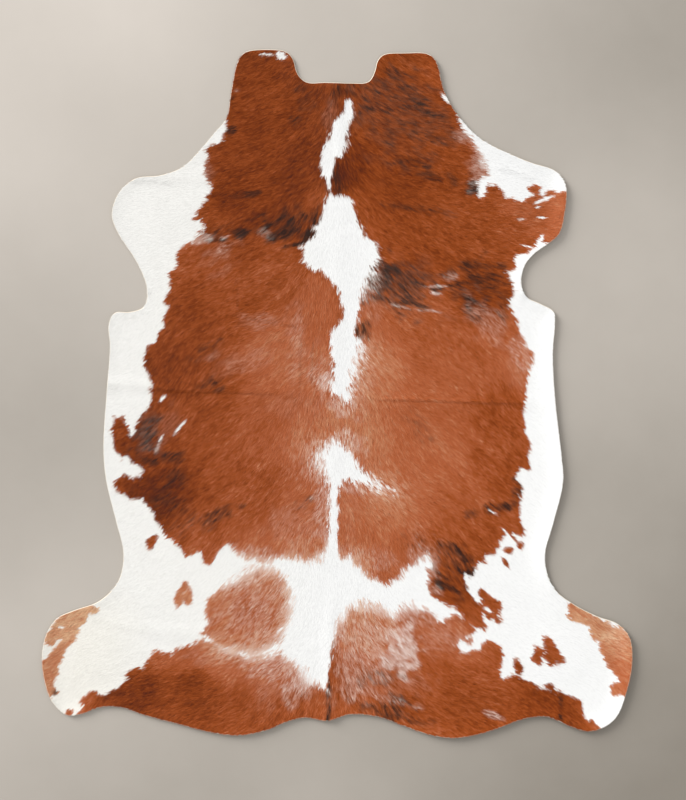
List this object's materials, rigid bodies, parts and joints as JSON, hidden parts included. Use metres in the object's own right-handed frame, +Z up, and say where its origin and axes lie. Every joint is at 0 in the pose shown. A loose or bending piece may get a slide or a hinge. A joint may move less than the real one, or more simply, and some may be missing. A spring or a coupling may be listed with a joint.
{
  "type": "cowhide rug",
  "caption": "Flat hair-on cowhide rug in brown and white, cut to the whole hide's outline of neck flaps, forelegs, flanks, hind shanks and rump.",
  "frame": {"origin": "middle of the rug's footprint on the floor, under its lowest face", "axes": "+Y from the tail to the neck, +X to the right with the hair up and the neck away, +Z up"},
  "size_m": [1.8, 2.1, 0.0144],
  "materials": {
    "cowhide": "short, flat-lying, slightly glossy hair in rust brown and white on tanned leather, suede flesh side beneath"
  },
  "bodies": {
    "root": {"hide": "cowhide"}
  },
  "joints": []
}
